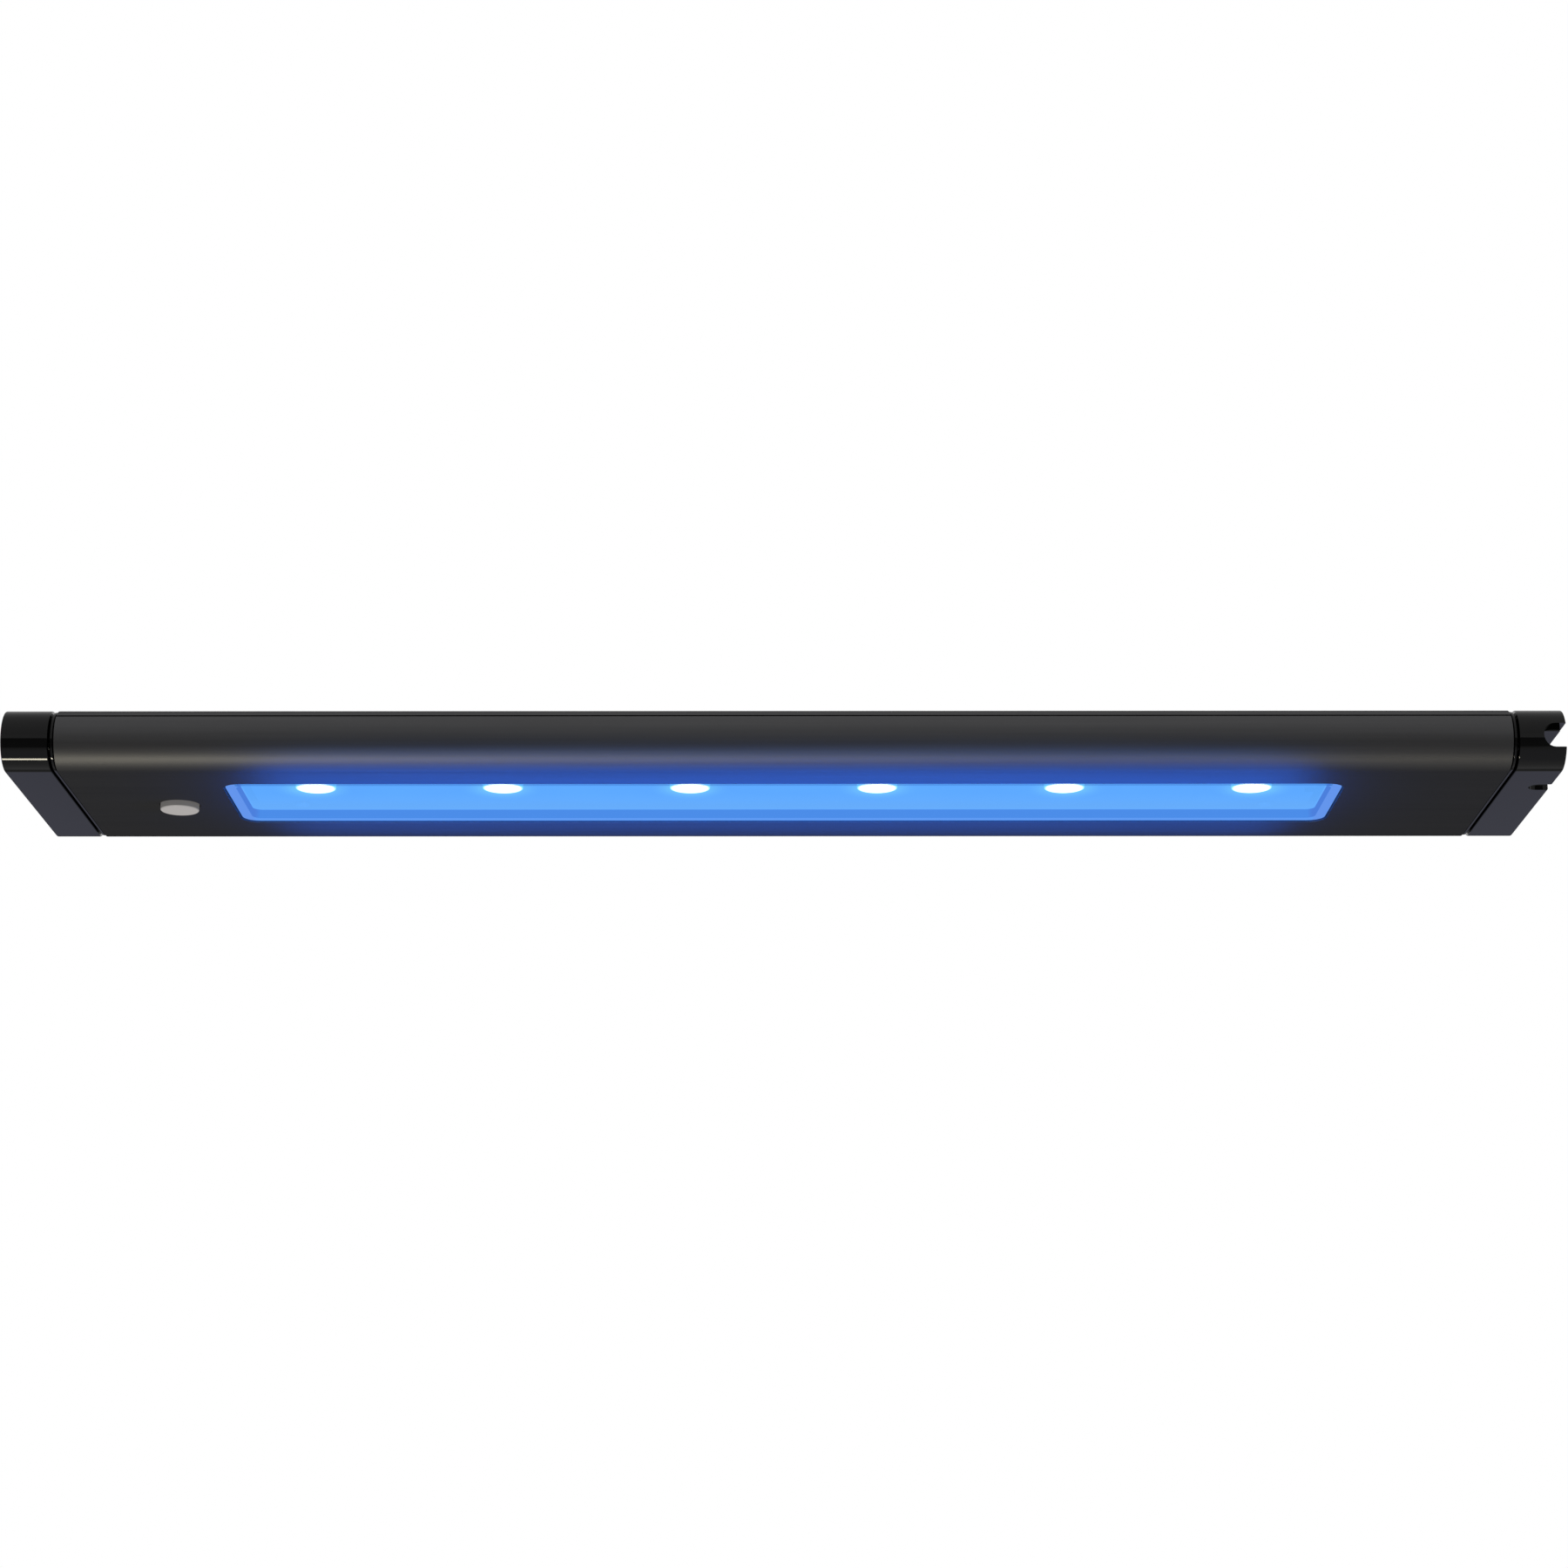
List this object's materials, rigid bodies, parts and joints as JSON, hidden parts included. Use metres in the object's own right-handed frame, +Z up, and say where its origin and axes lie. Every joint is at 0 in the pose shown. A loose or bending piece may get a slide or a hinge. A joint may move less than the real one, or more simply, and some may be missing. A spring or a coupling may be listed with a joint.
{
  "type": "led aquarium light",
  "caption": "Slim black bar light for a small tank, lit window underneath with a row of LEDs, press button at one end and a power inlet with cable notches at the other.",
  "frame": {"origin": "centre of the plane that rests on the tank's rims, which is the plane of the flat underside", "axes": "+X along the bar to the end with the power inlet, +Y to the back, +Z up, out of the grooved top"},
  "size_m": [0.306, 0.0618, 0.0135],
  "materials": {
    "anodised_black": "satin black anodised aluminium extrusion",
    "cap_black": "high-gloss black moulding",
    "blue_lens": "clear acrylic lit blue from inside",
    "led_phosphor": "lit emitter",
    "white_board": "white solder mask on a metal core",
    "thermal_pad": "soft grey pad",
    "frosted_button": "frosted grey moulding",
    "seal_silicone": "dark silicone",
    "chip_black": "matt black moulding",
    "green_board": "green circuit board",
    "capacitor_can": "bright can",
    "contact_metal": "plated contact",
    "screw_steel": "stainless steel",
    "wire_red": "red insulation",
    "wire_black": "black insulation",
    "wire_white": "white insulation"
  },
  "bodies": {
    "light": {"button_seal": "seal_silicone", "control_board": "green_board", "control_board_screw_1": "screw_steel", "control_board_screw_2": "screw_steel", "control_chip": "chip_black", "driver_board": "green_board", "driver_board_screw_1": "screw_steel", "driver_board_screw_2": "screw_steel", "driver_capacitor_1": "capacitor_can", "driver_capacitor_2": "capacitor_can", "driver_chip": "chip_black", "driver_inductor": "chip_black", "end_cap_screw_left_front": "screw_steel", "end_cap_screw_left_rear": "screw_steel", "end_cap_screw_right_front": "screw_steel", "end_cap_screw_right_rear": "screw_steel", "inlet_lead_1": "wire_red", "inlet_lead_2": "wire_black", "inlet_pin": "contact_metal", "inlet_seal": "seal_silicone", "led_board": "white_board", "led_board_screw_1": "screw_steel", "led_board_screw_2": "screw_steel", "led_board_screw_3": "screw_steel", "led_board_screw_4": "screw_steel", "led_emitter_1": "led_phosphor", "led_emitter_2": "led_phosphor", "led_emitter_3": "led_phosphor", "led_emitter_4": "led_phosphor", "led_emitter_5": "led_phosphor", "led_emitter_6": "led_phosphor", "led_lead_1": "wire_red", "led_lead_2": "wire_black", "left_end_cap": "cap_black", "left_trim_ring": "cap_black", "lens_gasket": "seal_silicone", "lower_housing": "anodised_black", "power_inlet": "chip_black", "right_end_cap": "cap_black", "right_trim_ring": "cap_black", "switch_lead_1": "wire_white", "switch_lead_2": "wire_black", "tact_switch_body": "chip_black", "thermal_pad": "thermal_pad", "top_plate": "anodised_black", "window_lens": "blue_lens"},
    "button": {"power_button": "frosted_button", "tact_switch_plunger": "frosted_button"}
  },
  "joints": [
    {"name": "button_press", "type": "slide", "parent": "light", "child": "button", "axis": [0, 0, 1], "range_m": [0, 0.0006], "stiffness_N_per_m": 400, "springref_m": -0.002}
  ]
}
